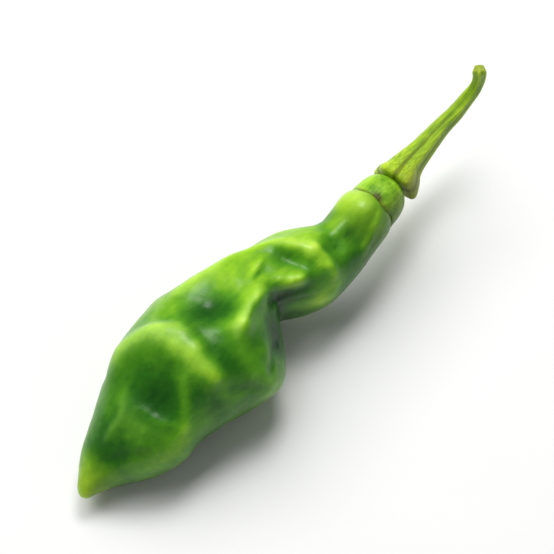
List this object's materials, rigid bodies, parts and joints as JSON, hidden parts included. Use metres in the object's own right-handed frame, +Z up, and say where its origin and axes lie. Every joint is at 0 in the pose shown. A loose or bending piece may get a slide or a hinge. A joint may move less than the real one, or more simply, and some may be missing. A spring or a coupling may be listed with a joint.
{
  "type": "seasoning pepper",
  "caption": "Crumpled green chilli pod with a long neck, its calyx and a thin flared stem, lying on its belly.",
  "frame": {"origin": "in the small flat spot that the pod rests on", "axes": "+X runs from the pod's tip to the stem, +Z is up"},
  "size_m": [0.097, 0.0256, 0.0239],
  "materials": {
    "pod": "smooth waxy skin, satin gloss",
    "calyx": "soft satin green",
    "stem": "ribbed yellow green, nearly matt"
  },
  "bodies": {
    "root": {"pod": "pod", "calyx": "calyx", "stem": "stem"}
  },
  "joints": []
}
